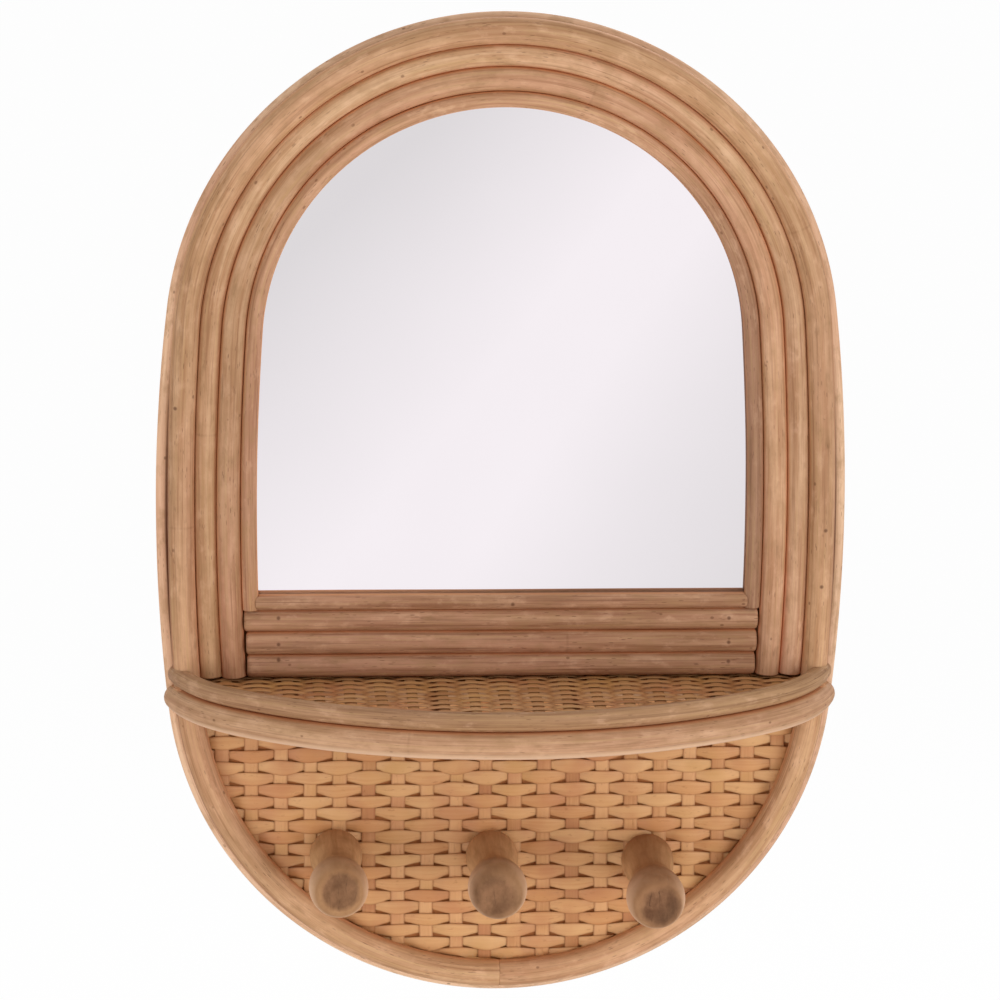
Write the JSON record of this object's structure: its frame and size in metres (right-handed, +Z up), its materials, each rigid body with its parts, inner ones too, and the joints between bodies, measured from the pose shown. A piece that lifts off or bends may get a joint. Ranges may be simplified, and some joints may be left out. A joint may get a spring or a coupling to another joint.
{
  "type": "wall mirror with hooks",
  "caption": "Oval rattan wall mirror with an arched glass, a woven half-round shelf and a woven panel with turned wooden pegs; hangs on two keyhole plates.",
  "frame": {"origin": "on the wall plane, midway between the entry holes of the two keyhole hanging plates", "axes": "+X right as seen from the front, +Y into the wall, +Z up; the front faces -Y and the wall plane is y = 0"},
  "size_m": [0.4078, 0.1352, 0.5919],
  "materials": {
    "plywood": "sanded plywood, unsealed",
    "pale_cane": "peeled rattan pole, matte",
    "cane_pole": "rattan pole with fine pores and streaks, thin matte lacquer",
    "cane_peel": "split rattan peel, satin",
    "shelf_peel": "split rattan peel, darker, satin",
    "turned_wood": "turned wood, matte, end grain on the flat end",
    "mirror": "silvered flat glass",
    "foam_tape": "closed-cell foam tape",
    "steel": "zinc-plated steel",
    "felt": "pressed felt"
  },
  "bodies": {
    "root": {"backboard": "plywood", "edge_ring": "pale_cane", "outer_loop": "cane_pole", "middle_arch": "cane_pole", "inner_arch": "cane_pole", "mirror_glass": "mirror", "mirror_tape": "foam_tape", "mirror_bead": "cane_pole", "bead_rail": "cane_pole", "upper_rail": "cane_pole", "centre_rail": "cane_pole", "lower_rail": "cane_pole", "panel_stakes": "cane_peel", "panel_weavers": "cane_peel", "shelf_stakes": "shelf_peel", "shelf_weavers": "shelf_peel", "shelf_top_rim": "pale_cane", "shelf_lower_rim": "pale_cane", "shelf_back_bar": "cane_pole", "shelf_slats": "cane_pole", "left_peg": "turned_wood", "centre_peg": "turned_wood", "right_peg": "turned_wood", "peg_screws": "steel", "left_hanger": "steel", "right_hanger": "steel", "hanger_screws": "steel", "wall_pads": "felt"}
  },
  "joints": []
}
